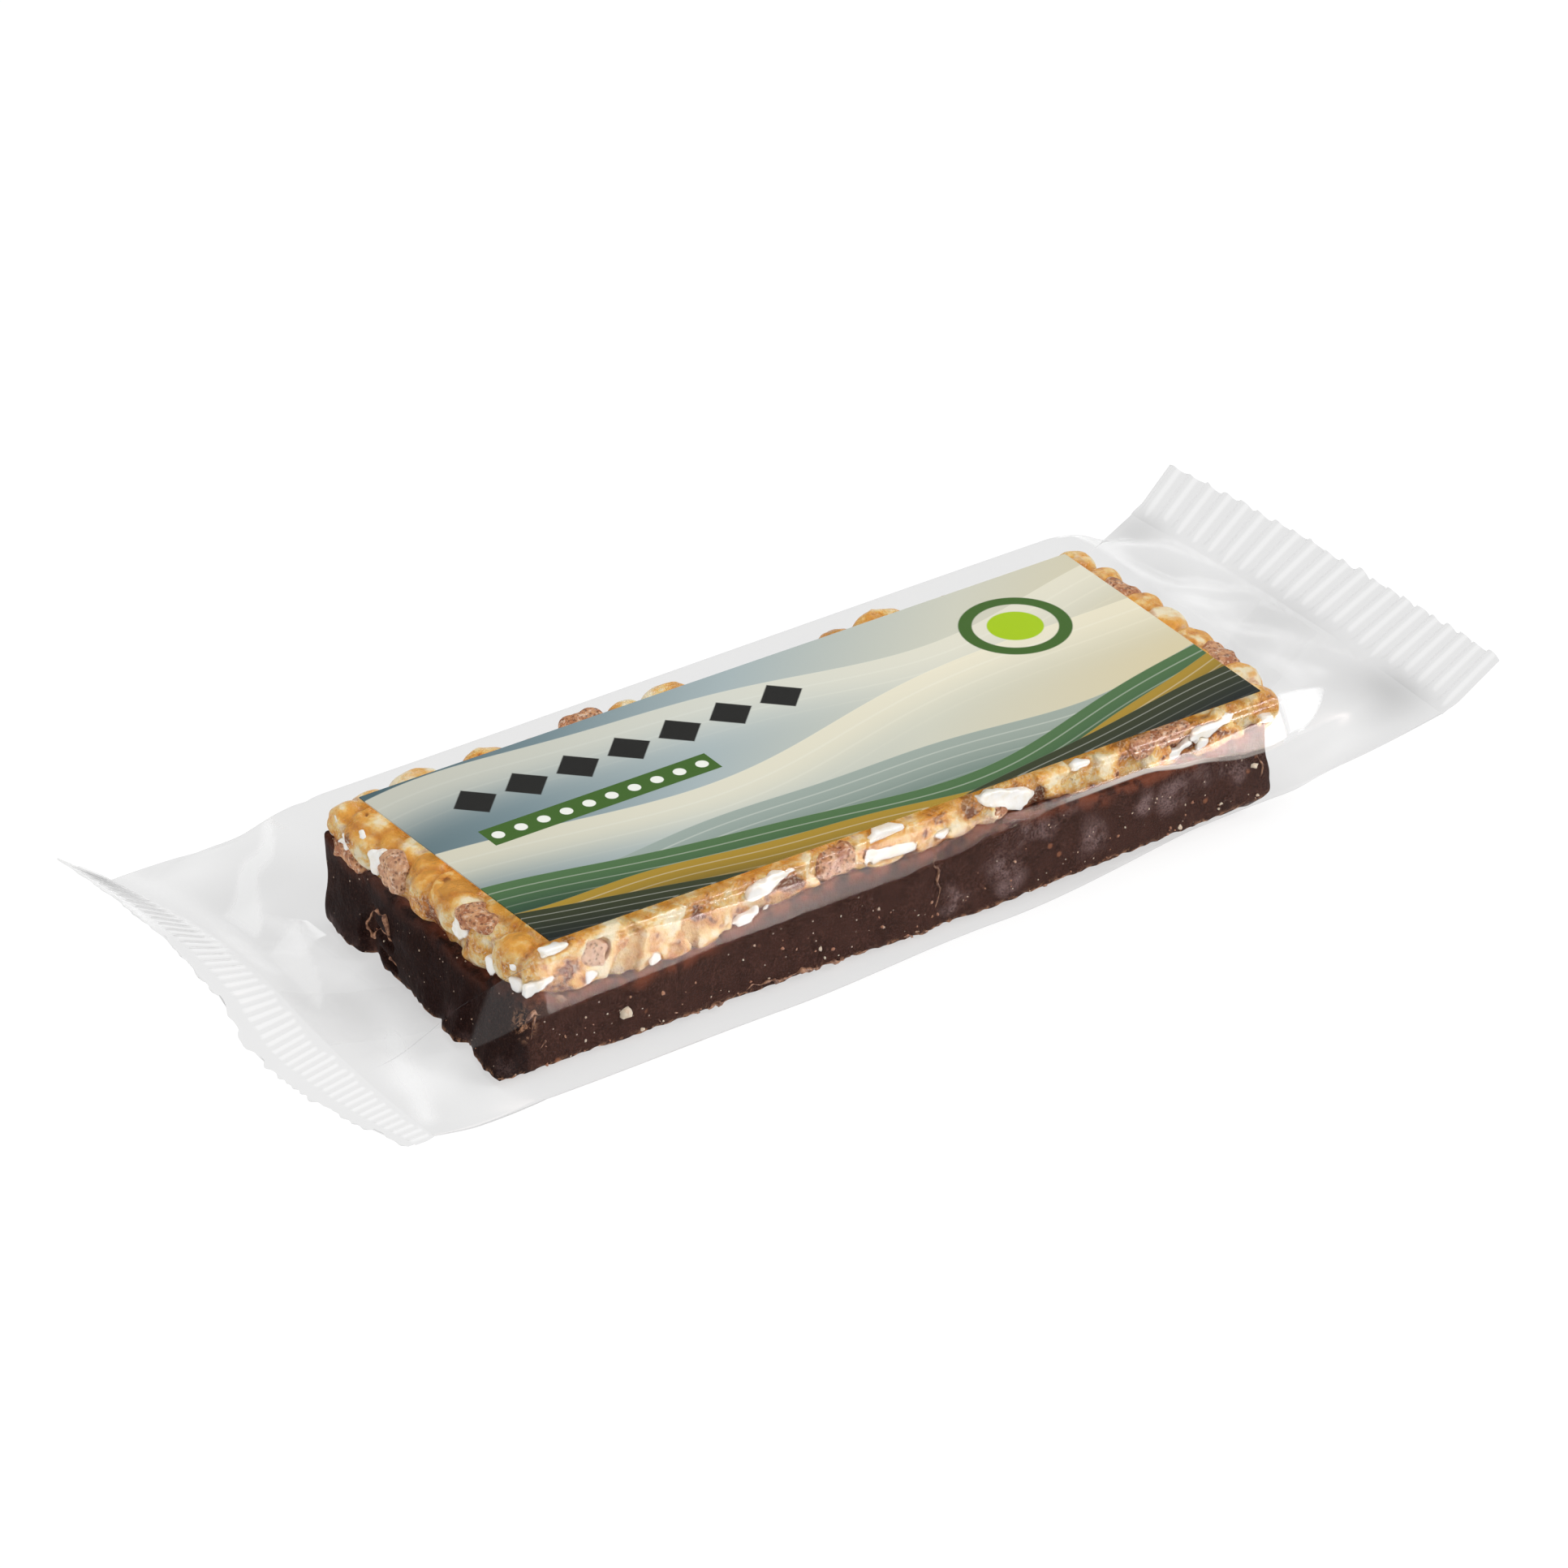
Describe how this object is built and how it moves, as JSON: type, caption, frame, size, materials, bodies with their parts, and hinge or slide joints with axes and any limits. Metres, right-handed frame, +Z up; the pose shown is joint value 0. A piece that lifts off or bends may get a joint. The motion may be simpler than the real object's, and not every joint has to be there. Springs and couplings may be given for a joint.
{
  "type": "energy bar in a clear flow wrap",
  "caption": "Layered cereal and chocolate energy bar sealed in a clear flow wrap with fluted ends and a printed label on top.",
  "frame": {"origin": "on the flat underside of the wrap, below the middle of the label", "axes": "+X along the bar from the finely ridged end seal to the coarsely fluted end seal that curls up, +Y from the shown long side to the back, +Z up"},
  "size_m": [0.1532, 0.0594, 0.0169],
  "materials": {
    "clear_film": "clear glossy film",
    "label_print": "satin print",
    "dark_chocolate": "matte dark chocolate with bloom",
    "crisped_cereal": "porous puffed cereal with a caramel glaze",
    "cocoa_puff": "porous cocoa cereal",
    "white_chip": "smooth white confectionery"
  },
  "bodies": {
    "root": {"clear_wrap": "clear_film", "print_label": "label_print"}
  },
  "joints": []
}
